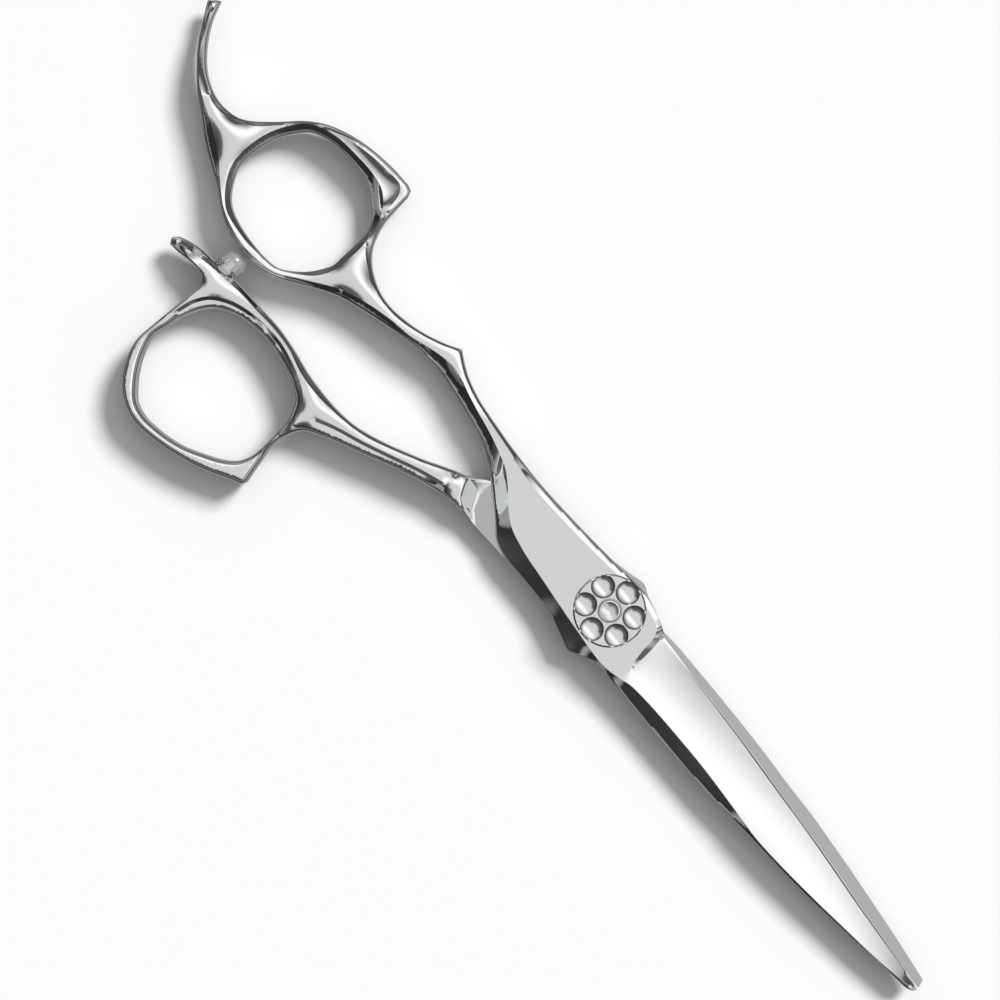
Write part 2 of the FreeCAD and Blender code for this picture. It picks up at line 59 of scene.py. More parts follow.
FACE = -0.05          # the flat inner face of each blade, measured inwards
EDGE_STOCK = 0.08     # what is left at a blade's edge, so that it stays a solid
PANEL = 2.7           # the finger half's flat panel round the pivot
THUMB_PANEL_HEIGHT = 2.4
FINGER_BORE, THUMB_BORE = 2.525, 3.1
# how strongly the skin bulges between its creases
HANDLE_SWELL, TANG_SWELL, BLADE_SWELL = 0.4, 0.25, 0.035
RACE_INNER, RACE_OUTER = 3.42, 4.78
RACE_FLOOR = -0.55
RIM_TURNS = (0, 20, 40, 62, 90)   # where a rim's quarter round has its rows, in degrees
RIM_GAP = 0.1         # least room between a rim and a crease
CREASE_GAP = 0.22     # least room between two creases
HOLE_RIM, ROUND_RIM, BORE_RIM = 0.3, 0.58, 0.06
HARD_ANGLE = 55       # edges sharper than this are shaded hard
CURVE_STEP, CREASE_STEP, SPACING = 0.35, 0.3, 0.36
RIM_ROOM = 0.9        # a rim point nearer another loop than this share of its inset is left out
POINT_ROOM = 0.6      # least distance of a free point from a fixed one, as a share of the spacing
MOST_ROUNDS, CLOSE_ENOUGH = 1500, 1e-7   # when the skin's solver stops
ROW_RATIO = 0.866     # height of a row of equilateral triangles with unit sides


# ---------------------------------------------------------------- curves
def smooth(points, step=CURVE_STEP, closed=False):
    """A centripetal Catmull-Rom curve through points of any dimension."""
    points = np.array(points, float)
    if len(points) == 2 and not closed:
        count = max(1, int(round(np.linalg.norm((points[1] - points[0])[:2]) / step)))
        share = np.linspace(0, 1, count + 1)[:, None]
        return points[0] * (1 - share) + points[1] * share
    if closed:
        padded = np.vstack([points[-1], points, points[0], points[1]])
    else:
        padded = np.vstack([2 * points[0] - points[1], points, 2 * points[-1] - points[-2]])
    made = []
    for index in range(len(padded) - 3):
        a, b, c, d = padded[index:index + 4]
        t0 = 0.0
        t1 = t0 + max(np.linalg.norm(b - a), 1e-6) ** 0.5
        t2 = t1 + max(np.linalg.norm(c - b), 1e-6) ** 0.5
        t3 = t2 + max(np.linalg.norm(d - c), 1e-6) ** 0.5
        count = max(1, int(round(np.linalg.norm((c - b)[:2]) / step)))
        for t in np.linspace(t1, t2, count, endpoint=False):
            ab = (t1 - t) / (t1 - t0) * a + (t - t0) / (t1 - t0) * b
            bc = (t2 - t) / (t2 - t1) * b + (t - t1) / (t2 - t1) * c
            cd = (t3 - t) / (t3 - t2) * c + (t - t2) / (t3 - t2) * d
            abc = (t2 - t) / (t2 - t0) * ab + (t - t0) / (t2 - t0) * bc
            bcd = (t3 - t) / (t3 - t1) * bc + (t - t1) / (t3 - t1) * cd
            made.append((t2 - t) / (t2 - t1) * abc + (t - t1) / (t2 - t1) * bcd)
    if not closed:
        made.append(points[-1])
    return np.array(made)


def chain(runs, step=CURVE_STEP):
    """A closed loop of smooth runs with a corner where one run meets the next."""
    made = []
    for run in runs:
        made.extend(smooth(run, step)[:-1])
    return np.array(made)


def circle(radius, centre=(0, 0), count=96, height=0.0, turn=1):
    angles = np.arange(count) * 2 * math.pi / count * turn
    return np.column_stack([
        centre[0] + radius * np.cos(angles), centre[1] + radius * np.sin(angles),
        np.full(count, height)])


def level(points, height):
    """Plan points with one height."""
    return [(x, y, height) for x, y in points]


def inside(points, loop):
    """Which plan points lie inside a closed loop."""
    x, y = points[:, 0], points[:, 1]
    result = np.zeros(len(points), bool)
    after = np.roll(loop, -1, axis=0)
    for (ax, ay), (bx, by) in zip(loop[:, :2], after[:, :2]):
        if ay == by:
            continue
        crosses = (ay > y) != (by > y)
        result ^= crosses & (x < (bx - ax) * (y - ay) / (by - ay) + ax)
    return result


def inwards(loop):
    """Direction into the material at each point of a loop that has it on its left.

    It is a little longer than one at a corner, so that the rows stay parallel to both sides.
    """
    along = np.roll(loop, -1, axis=0)[:, :2] - loop[:, :2]
    along /= np.maximum(np.linalg.norm(along, axis=1), 1e-9)[:, None]
    left = np.column_stack([-along[:, 1], along[:, 0]])
    both = left + np.roll(left, 1, axis=0)
    both /= np.maximum(np.linalg.norm(both, axis=1), 1e-9)[:, None]
    lean = np.clip((both * left).sum(1), 0.5, 1.0)
    return both / lean[:, None]


def tree_of(points):
    tree = kdtree.KDTree(len(points))
    for index, point in enumerate(points):
        tree.insert((point[0], point[1], 0), index)
    tree.balance()
    return tree


# ---------------------------------------------------------------- plan mesh
def plan_mesh(loops, rim_widths, creases, spacing):
    """Triangulate the area inside loops[0] and outside the other loops.

    Returns the points, their fixed heights (nan where free), the triangles, the ids of each
    loop and the point pairs along the creases. Inside each loop, rows of points follow a
    quarter round of the given width.
    """
    points, heights, edges, loop_ids, crisp = [], [], [], [], []
    boundary = tree_of(np.vstack([loop[:, :2] for loop in loops]))

    def add(point, height):
        points.append((float(point[0]), float(point[1])))
        heights.append(height)
        return len(points) - 1

    for loop, widths in zip(loops, rim_widths):
        direction = inwards(loop)
        for turn in RIM_TURNS:
            angle = math.radians(turn)
            inset = widths * (1 - math.cos(angle))
            row = []
            for index, point in enumerate(loop):
                place = point[:2] + direction[index] * inset[index]
                low, high = point[3], point[2]
                reach = boundary.find((place[0], place[1], 0))[2]
                if turn and reach < RIM_ROOM * inset[index]:
                    row.append(None)
                    continue
                row.append(add(place, low + (high - low) * math.sin(angle)))
            if not turn:
                loop_ids.append(row)
            for a, b in zip(row, row[1:] + row[:1]):
                if a is not None and b is not None:
                    edges.append((a, b))

    around = np.vstack([loop[:, :2] for loop in loops])
    widths_around = np.concatenate(rim_widths)
    drawn = []
    for line, is_closed in creases:
        line = clear_of_rims(line, loops, boundary, around, widths_around)
        earlier = tree_of(drawn) if drawn else None
        ids = []
        for x, y, height in line:
            is_free = earlier is None or earlier.find((x, y, 0))[2] > CREASE_GAP
            if is_free and height == height:
                ids.append(add((x, y), height))
            else:
                ids.append(None)
        drawn += [(x, y) for x, y, height in line if height == height]
        pairs = list(zip(ids, ids[1:]))
        if is_closed:
            pairs.append((ids[-1], ids[0]))
        pairs = [(a, b) for a, b in pairs if a is not None and b is not None]
        edges += pairs
        crisp += pairs

    placed = tree_of(points)
    low = loops[0][:, :2].min(0)
    high = loops[0][:, :2].max(0)
    rows = int((high[1] - low[1]) / (spacing * ROW_RATIO)) + 1
    lattice = []
    for row in range(rows):
        shift = spacing / 2 * (row % 2)
        for x in np.arange(low[0] + shift, high[0], spacing):
            lattice.append((x, low[1] + row * spacing * ROW_RATIO))
    lattice = np.array(lattice)
    keep = inside(lattice, loops[0])
    for loop in loops[1:]:
        keep &= ~inside(lattice, loop)
    for x, y in lattice[keep]:
        if placed.find((x, y, 0))[2] > POINT_ROOM * spacing:
            add((x, y), float("nan"))

    made = delaunay_2d_cdt([Vector(p) for p in points], edges, [], 0, 1e-5)
    out_points = np.array([tuple(p) for p in made[0]])
    origin = made[3]
    out_heights = np.full(len(out_points), np.nan)
    renamed = {}
    for index, sources in enumerate(origin):
        for source in sources:
            renamed[source] = index
        fixed = [heights[source] for source in sources if heights[source] == heights[source]]
        if fixed:
            out_heights[index] = fixed[0]
    triangles = np.array([tuple(face) for face in made[2] if len(face) == 3])
    middles = out_points[triangles].mean(1)
    keep = inside(middles, loops[0])
    for loop in loops[1:]:
        keep &= ~inside(middles, loop)
    triangles = triangles[keep]
    turned = cross(out_points, triangles) < 0
    triangles[turned] = triangles[turned][:, ::-1]
    loop_ids = [[renamed[index] for index in row] for row in loop_ids]
    crisp = {(renamed[a], renamed[b]) for a, b in crisp}
    return out_points, out_heights, triangles, loop_ids, crisp


def clear_of_rims(line, loops, boundary, around, widths):
    """Move a crease in from the rims where it would run over them, and blank what lies outside."""
    line = np.array(line, float)
    is_in = inside(line[:, :2], loops[0])
    for loop in loops[1:]:
        is_in &= ~inside(line[:, :2], loop)
    for index, (x, y, _) in enumerate(line):
        _, nearest, reach = boundary.find((x, y, 0))
        need = widths[nearest] + RIM_GAP
        if not is_in[index]:
            line[index, 2] = np.nan
        elif reach < need:
            away = (line[index, :2] - around[nearest]) / max(reach, 1e-6)
            line[index, :2] = around[nearest] + away * need
    return line


def cross(points, triangles):
    """Twice the signed area of each triangle."""
    a, b, c = points[triangles[:, 0]], points[triangles[:, 1]], points[triangles[:, 2]]
    return (b[:, 0] - a[:, 0]) * (c[:, 1] - a[:, 1]) - (b[:, 1] - a[:, 1]) * (c[:, 0] - a[:, 0])


def stretch(points, heights, triangles, load):
    """Fill in the free heights with a skin stretched over the fixed ones and lifted by the load."""
    total = len(points)
    rows, columns, weights = [], [], []
    area = np.maximum(np.abs(cross(points, triangles)), 1e-9)
    share = np.zeros(total)
    for corner in range(3):
        i, j, k = triangles[:, corner], triangles[:, (corner + 1) % 3], triangles[:, (corner + 2) % 3]
        one, two = points[i] - points[k], points[j] - points[k]
        weight = np.clip((one * two).sum(1) / area, 1e-4, 20) / 2
        rows += [i, j]
        columns += [j, i]
        weights += [weight, weight]
        share += np.bincount(i, area / 6, total)
    rows, columns = np.concatenate(rows), np.concatenate(columns)
    weights = np.concatenate(weights)
    diagonal = np.bincount(rows, weights, total) + 1e-12
    free = np.isnan(heights)
    known = np.where(free, 0.0, heights)

    def apply(values):
        return diagonal * values - np.bincount(rows, weights * values[columns], total)

    target = np.where(free, share * load - apply(known), 0.0)
    value = np.zeros(total)
    rest = target.copy()
    ready = rest / diagonal
    way = ready.copy()
    size = (rest * ready).sum()
    for _ in range(MOST_ROUNDS):
        pushed = np.where(free, apply(way), 0.0)
        gain = size / max((way * pushed).sum(), 1e-30)
        value += gain * way
        rest -= gain * pushed
        if np.abs(rest).max() < CLOSE_ENOUGH:
            break
        ready = rest / diagonal
        new_size = (rest * ready).sum()
        way = ready + new_size / size * way
        size = new_size
    return known + value


def make_object(name, vertices, faces, sharp, crisp=()):
    """A smooth-shaded object, hard where faces meet at more than the angle and along the crisp pairs."""
    mesh = bpy.data.meshes.new(name)
    mesh.from_pydata([tuple(v * MM for v in vertex) for vertex in vertices], [], faces)
    mesh.validate()
    mesh.shade_smooth()
    mesh.set_sharp_from_angle(angle=math.radians(sharp))
    if crisp:
        wanted = {tuple(sorted(pair)) for pair in crisp}
        hard = mesh.attributes["sharp_edge"] if "sharp_edge" in mesh.attributes else (
            mesh.attributes.new("sharp_edge", "BOOLEAN", "EDGE"))
        for edge in mesh.edges:
            if tuple(sorted(edge.vertices)) in wanted:
                hard.data[edge.index].value = True
    item = bpy.data.objects.new(name, mesh)
    bpy.context.scene.collection.objects.link(item)
    return item


def both_sides(name, loops, rim_widths, creases, flip, step_at, load, ramp_at=None):
    """One half of the shears: outer and inner surface, rims and bores in one closed mesh."""
    points, heights, triangles, loop_ids, crisp = plan_mesh(loops, rim_widths, creases, SPACING)
    lift = np.array([load(x) for x in points[:, 0]])
    outer = stretch(points, heights, triangles, lift)
    is_blade = points[:, 0] > step_at(points[:, 1])
    radius = np.hypot(points[:, 0], points[:, 1])
    in_race = (radius > RACE_INNER + 0.01) & (radius < RACE_OUTER - 0.01)
    past = points[:, 0] - step_at(points[:, 1])
    ramp = FACE + (outer - FACE) * ramp_at(past) if ramp_at else FACE
    inner = np.where(is_blade, np.where(in_race, RACE_FLOOR, ramp), outer)
    outer = np.where(is_blade, np.maximum(outer, EDGE_STOCK - FACE), outer)
    total = len(points)
    vertices = [(x, y, MIDDLE + flip * w) for (x, y), w in zip(points, outer)]
    vertices += [(x, y, MIDDLE - flip * w) for (x, y), w in zip(points, inner)]
    under = np.arange(total) + total
    for row in loop_ids:
        for index in row:
            if abs(outer[index] + inner[index]) < 1e-6:
                under[index] = index
    faces = []
    for a, b, c in triangles:
        top, low = (a, b, c), (under[c], under[b], under[a])
        faces.append(tuple(map(int, top if flip > 0 else top[::-1])))
        faces.append(tuple(map(int, low if flip > 0 else low[::-1])))
    for row in loop_ids:
        for a, b in zip(row, row[1:] + row[:1]):
            ring = [a, under[a], under[b], b]
            if flip < 0:
                ring.reverse()
            wall = []
            for index in ring:
                if int(index) not in wall:
                    wall.append(int(index))
            if len(wall) > 2:
                faces.append(tuple(wall))
    hard = [(int(a), int(b)) for a, b in crisp]
    hard += [(int(under[a]), int(under[b])) for a, b in crisp if not (is_blade[a] or is_blade[b])]
    item = make_object(name, vertices, faces, sharp=HARD_ANGLE, crisp=hard)
    for polygon in item.data.polygons:
        ids = [index - total for index in polygon.vertices]
        if min(ids) >= 0 and max(inner[index] for index in ids) <= FACE + 1e-6:
            polygon.material_index = 1
    return item


def lathe(name, profile, place=(0, 0, 0), lengthwise=False, count=128):
    """Turn a half section (radius, along) about +Z, or about +Y when it is lengthwise."""
    vertices, faces = [], []
    for radius, along in profile:
        for number in range(count):
            angle = 2 * math.pi * number / count
            across, up = radius * math.cos(angle), radius * math.sin(angle)
            if lengthwise:
                vertices.append((place[0] + across, place[1] + along, place[2] - up))
            else:
                vertices.append((place[0] + across, place[1] + up, place[2] + along))
    rows = len(profile)
    for row in range(rows - 1):
        for number in range(count):
            after = (number + 1) % count
            a, b = row * count + number, row * count + after
            faces.append((a, b, b + count, a + count))
    faces.append(tuple(reversed(range(count))))
    faces.append(tuple(range((rows - 1) * count, rows * count)))
    return make_object(name, vertices, faces, sharp=28)


# ---------------------------------------------------------------- finger half
# Each outline point is X, Y and the height of the rim just inside it. Crease points are X, Y and
# the height of the surface there.
FINGER_RUNS = [
    # underside of the tang and ring, shank, heel and spine of the blade
    [(-101, 9.1, 1.0), (-99.8, 7.6, 0.55), (-98.3, 5.7, 0.55), (-96.4, 3.8, 0.55), (-93, 1.1, 0.55),
     (-90, -0.6, 0.55), (-86.7, -2.6, 0.55), (-83, -4.3, 0.55), (-80.6, -5.3, 0.55), (-77.1, -7.2, 0.55),
     (-75, -7.9, 0.55), (-72.4, -8.3, 0.55), (-70.3, -8.35, 0.55), (-67.9, -7.8, 0.55), (-65.3, -6.7, 0.8),
     (-61.3, -3.9, 1.5), (-58.1, -1.9, 1.8), (-54.9, -0.6, 1.8), (-50.2, 0.95, 1.6), (-45, 2.35, 1.0),
     (-42, 2.6, 0.6), (-39.7, 2.5, 0.55), (-34.4, 1.9, 0.55), (-30, 1.2, 0.55), (-27, 0, 0.55),
     (-22.5, -2.7, 0.55), (-20, -4.3, 0.7), (-17.5, -6.1, 1.0), (-15, -6.7, 1.1), (-10, -6.7, 1.1),
     (-5, -6.85, 1.1), (-2.5, -7.4, 1.1), (0, -8.0, 1.1), (0.6, -8.1, 1.1), (2, -7.5, 1.0),
     (3.5, -6.5, 1.2), (5, -5.9, 1.5), (8, -5.95, 1.5), (15, -5.9, 1.1), (25, -5.6, 1.1),
     (30, -5.3, 1.2), (35, -4.75, 1.3), (40, -4.4, 1.3), (45, -4.0, 1.3), (50, -3.45, 1.3),
     (55, -2.75, 1.2), (60, -2.1, 1.1), (65, -1.3, 0.95), (67.5, -0.9, 0.7), (68.2, -0.5, 0.5)],
    [(68.2, -0.5, 0.5), (68.45, 0, 0.3), (68.2, 0.4, 0.18)],
    # cutting edge
    [(68.2, 0.4, 0.18), (65, 0.6, 0.18), (60, 1.0, 0.18), (55, 1.3, 0.18), (50, 1.75, 0.18),
     (45, 2.1, 0.18), (40, 2.35, 0.18), (35, 2.65, 0.18), (30, 2.95, 0.18), (26, 3.1, 0.18),
     (20, 3.3, 0.18), (15, 3.4, 0.18), (10, 3.6, 0.18), (8, 3.65, 0.18), (7.5, 3.9, 0.4)],
    # upper side of the pivot panel and of the shank, up to the pointed spur
    [(7.5, 3.9, 0.4), (6.3, 4.4, 2.54), (4.5, 4.9, 2.54), (3, 5.3, 2.54), (1.5, 5.5, 2.54), (0, 5.5, 2.54),
     (-2.5, 5.2, 2.54), (-5, 4.85, 2.54), (-10, 4.35, 2.54), (-15, 3.95, 2.54), (-20, 3.7, 2.4),
     (-26, 3.8, 1.9), (-29, 4.0, 1.9), (-34.4, 4.5, 1.9), (-38.1, 5.45, 1.9), (-41.3, 7.0, 1.9)],
    # hollow between the spur and the ring
    [(-41.3, 7.0, 1.9), (-43.6, 5.6, 1.9), (-47.6, 3.9, 1.9), (-52, 3.0, 1.9), (-54.9, 3.2, 1.9),
     (-58.1, 4.5, 1.9), (-60, 6.1, 2.0), (-61.2, 8.1, 2.0), (-61.9, 10, 1.7), (-62.6, 14.5, 1.3)],
    [(-62.6, 14.5, 1.3), (-63.1, 15.4, 1.25), (-64, 15.65, 1.25)],
    # crown of the ring and hollow of the tang
    [(-64, 15.65, 1.25), (-67.5, 15.45, 1.4), (-72.7, 14.4, 2.1), (-77.2, 12.4, 2.5), (-79.8, 10.2, 2.4),
     (-82.5, 6.7, 2.2), (-85.1, 3.85, 2.0), (-86.7, 2.9, 1.9), (-89.8, 2.45, 1.9), (-93.3, 3.45, 1.8),
     (-96.4, 5.7, 1.7), (-99, 8.8, 1.5), (-100.4, 11.5, 1.2)],
    [(-100.4, 11.5, 1.2), (-101.7, 10.3, 1.0), (-101, 9.1, 1.0)],
]
FINGER_HOLE = [
    (-81, 2.5, 1.3), (-80.6, 5.2, 1.2), (-79.5, 7.8, 1.1), (-78, 9.8, 1.1), (-75, 11.1, 1.1),
    (-71, 11.5, 1.0), (-68, 11.35, 0.9), (-66.2, 10.55, 0.9), (-64.6, 9.4, 0.9), (-63.2, 8.3, 0.9),
    (-62.3, 6.1, 1.1), (-61.9, 2, 1.6), (-61.8, 0.4, 1.8), (-62.4, -1.2, 1.8), (-63.2, -2.7, 1.8),
    (-64.5, -4.3, 1.9), (-66.6, -5.9, 2.0), (-71.5, -6.4, 2.0), (-76, -5.8, 1.8), (-78, -4.8, 1.6),
    (-80, -2.5, 1.4), (-80.9, -0.6, 1.3),
]
# Crest of the ring round the finger hole, lowest at its corner towards +X and +Y.
FINGER_CREST = [
    (-81.9, 2.6, 2.9), (-81.5, 5.3, 2.9), (-80.4, 8.1, 2.9), (-78.7, 10.4, 2.9), (-75.3, 12.0, 2.85),
    (-71, 12.6, 2.75), (-68, 12.7, 2.7), (-65.6, 12.3, 2.65), (-63.7, 11.0, 2.6), (-62.4, 9.2, 2.65),
    (-61.5, 6.9, 2.75), (-61.0, 4.4, 2.85), (-60.9, 2.2, 2.9), (-60.9, 0.6, 2.9),
    (-61.6, -1.8, 2.9), (-63.4, -4.0, 2.9), (-66, -5.9, 2.9), (-70, -6.85, 2.9), (-73, -6.95, 2.9),
    (-77, -6.3, 2.9), (-79.8, -4.1, 2.9), (-81.4, -1.6, 2.9), (-81.8, 0.2, 2.9),
]
# Flat lip along the outside of the ring's crown, over the slope up to the crest.
CROWN_LIP = [
    (-76.2, 12.0, 2.75), (-74.4, 12.95, 2.5), (-72.4, 13.6, 2.2), (-70, 14.2, 1.8), (-67.4, 14.6, 1.5),
    (-64.6, 14.7, 1.35), (-63.6, 13.7, 1.4), (-62.9, 11.2, 1.75), (-62.3, 9.8, 2.2),
]
# Upper edge of the dark flank: along the shank, round the pivot panel, then the blade's ridge.
FINGER_RIDGE = [
    (-58.2, -0.85, 3.0), (-55, 0.55, 3.0), (-51, 1.75, 3.0), (-47, 2.6, 3.0), (-45, 3.3, 3.0),
    (-42, 4.2, 3.0), (-40, 4.5, 3.0), (-38, 4.3, 3.0), (-36, 3.8, 3.0), (-33, 3.2, 3.0), (-30, 2.7, 2.9),
    (-27, 2.0, 2.8), (-24.5, 1.2, 2.7), (-22.5, 0, 2.7), (-20, -1.9, 2.7), (-17.5, -3.3, 2.7),
    (-15, -3.9, 2.7), (-12.5, -4.25, 2.7), (-10, -4.45, 2.7), (-5, -4.9, 2.7), (0, -5.3, 2.7),
    (3, -5.5, 2.7), (5, -5.5, 2.7), (6.5, -5.3, 2.7), (8, -4.9, 2.69), (10, -4.25, 2.68),
    (12, -4.0, 2.65), (15, -3.8, 2.6), (20, -3.65, 2.5), (25, -3.6, 2.4), (30, -3.75, 2.3),
    (35, -4.0, 2.15), (37, -4.1, 2.1), (40, -4.0, 2.0), (45, -3.6, 1.85), (50, -3.05, 1.7),
    (55, -2.4, 1.5), (60, -1.75, 1.35), (65, -0.95, 1.05), (67.4, -0.4, 0.8),
]
# Ridge along the tang and the underside of the ring.
TANG_RIDGE = [
    (-100.6, 10.2, 1.5), (-98.9, 7.7, 1.9), (-97, 5.2, 2.1), (-95, 3.3, 2.3), (-93, 1.8, 2.5),
    (-90, 0.5, 2.7), (-88, -0.3, 2.9), (-86.2, -1.1, 3.0), (-84.2, -2.1, 3.0), (-82.5, -3.1, 3.0),
    (-80.6, -4.5, 3.0), (-77, -6.6, 3.0), (-73, -7.5, 3.0), (-70, -7.5, 3.0), (-66, -6.5, 3.0),
    (-63, -4.3, 3.0), (-60.2, -2.2, 3.0), (-58.5, -1.0, 3.0),
]
# Bevels just inside the upper side of the tang, the corner of the ring and the shank.
TANG_BEVEL = [
    (-91, 1.9, 2.6), (-89.5, 1.55, 2.7), (-87.5, 1.75, 2.8), (-86, 2.4, 2.85), (-84.9, 3.1, 2.9),
    (-84.1, 3.6, 2.9), (-83.2, 4.4, 2.9), (-82.2, 5.8, 2.9), (-81.2, 7.2, 2.9), (-80.5, 8.1, 2.9),
]
SHANK_BEVEL = [
    (-61.1, 6.0, 2.8), (-60.2, 5.05, 2.85), (-58.3, 3.85, 2.9), (-56.4, 2.9, 2.95), (-54, 2.65, 2.9),
    (-51, 2.55, 2.9), (-48, 3.25, 2.9), (-44, 4.85, 2.9), (-41.3, 6.3, 2.9), (-38.2, 4.95, 2.9),
    (-34.4, 4.05, 2.9), (-30, 3.5, 2.9), (-25, 3.1, 2.75),
]
# The flat panel round the pivot: its upper edge, its end towards the handle and its notched front.
PANEL_EDGE = level([
    (-25, 2.95), (-20, 2.6), (-15, 2.85), (-10, 3.25), (-5, 3.8), (-2.5, 4.15), (0, 4.5), (1.5, 4.5),
    (3, 4.35), (5, 3.95), (6.3, 3.5)], PANEL)
PANEL_END = level([(-25, 3.0), (-24.6, 2.2), (-24.5, 1.3)], PANEL)
NOTCH_TOP = level([(6.35, 3.4), (6.9, 2.3), (7.3, 0), (7.7, -1.6), (8.0, -2.6)], PANEL)
NOTCH_FOOT = [(7.75, 3.1, 0.3), (8.0, 1.5, 0.85), (8.2, -0.5, 1.6), (8.35, -2.4, 2.3)]
# Inner edge of the narrow bevel along the cutting edge.
FINGER_MICRO = [
    (12, 3.3, 0.22), (18, 3.1, 0.3), (26, 2.78, 0.4), (35, 2.3, 0.42), (45, 1.75, 0.42), (55, 0.97, 0.42),
    (62, 0.55, 0.42), (65.5, 0.28, 0.4),
]


STEP_X, STEP_Y, STEP_SLANT = -27.4, -2, 0.155


def finger_step(y):
    """X where the finger handle's full depth ends and the blade's flat inner face begins."""
    return STEP_X + STEP_SLANT * (y - STEP_Y)


def blade_load(x):
    """How much the skin swells between its creases: rounded handles, flat panel, faintly convex blades."""
    places = (-100, -90, -32, -27, 9, 10)
    swells = (TANG_SWELL, HANDLE_SWELL, HANDLE_SWELL, 0, 0, BLADE_SWELL)
    return float(np.interp(x, places, swells))


def rim_width(loop):
    """Rims are broad on the handles and narrow on the blades."""
    return np.interp(loop[:, 0], (-98, -26, -22, 2, 5), (0.4, 0.4, 0.3, 0.25, 0.1))


def with_foot(loop, step_at):
    """Add the height at the very edge: the middle plane on a handle, the stock left on a blade."""
    foot = np.where(loop[:, 0] > step_at(loop[:, 1]), EDGE_STOCK - FACE, 0.0)
    return np.column_stack([loop, foot])


def hole_loop(points, width):
    """A ring hole, running clockwise so that the metal is on its left."""
    loop = smooth(points, closed=True)
    area = (loop[:, 0] * np.roll(loop[:, 1], -1) - np.roll(loop[:, 0], -1) * loop[:, 1]).sum()
    if area > 0:
        loop = loop[::-1]
    return np.column_stack([loop, np.zeros(len(loop))]), np.full(len(loop), width)


def bore_loop(radius, height):
    loop = circle(radius, height=height, turn=-1)
    return np.column_stack([loop, np.full(len(loop), height)]), np.full(len(loop), BORE_RIM)


def open_creases(*lines):
    return [(smooth(line, CREASE_STEP), False) for line in lines]


def race_rings(height):
    """Edges of the ball race's groove; outside they only mark out the flat panel."""
    return [(circle(radius, count=150, height=height), True)
            for radius in (RACE_INNER, RACE_OUTER)]


finger_outline = chain(FINGER_RUNS)
finger_hole, finger_hole_width = hole_loop(FINGER_HOLE, HOLE_RIM)
finger_bore, finger_bore_width = bore_loop(FINGER_BORE, PANEL)
finger_creases = [(smooth(FINGER_CREST, CREASE_STEP, closed=True), True)]
finger_creases += open_creases(
    FINGER_RIDGE, CROWN_LIP, TANG_RIDGE, TANG_BEVEL, SHANK_BEVEL, PANEL_EDGE, PANEL_END, NOTCH_TOP,
    NOTCH_FOOT, FINGER_MICRO)
finger_creases += race_rings(PANEL)
finger = both_sides(
    "finger_half_skin",
    [with_foot(finger_outline, finger_step), finger_hole, finger_bore],
    [rim_width(finger_outline), finger_hole_width, finger_bore_width],
    finger_creases, 1, finger_step, blade_load)

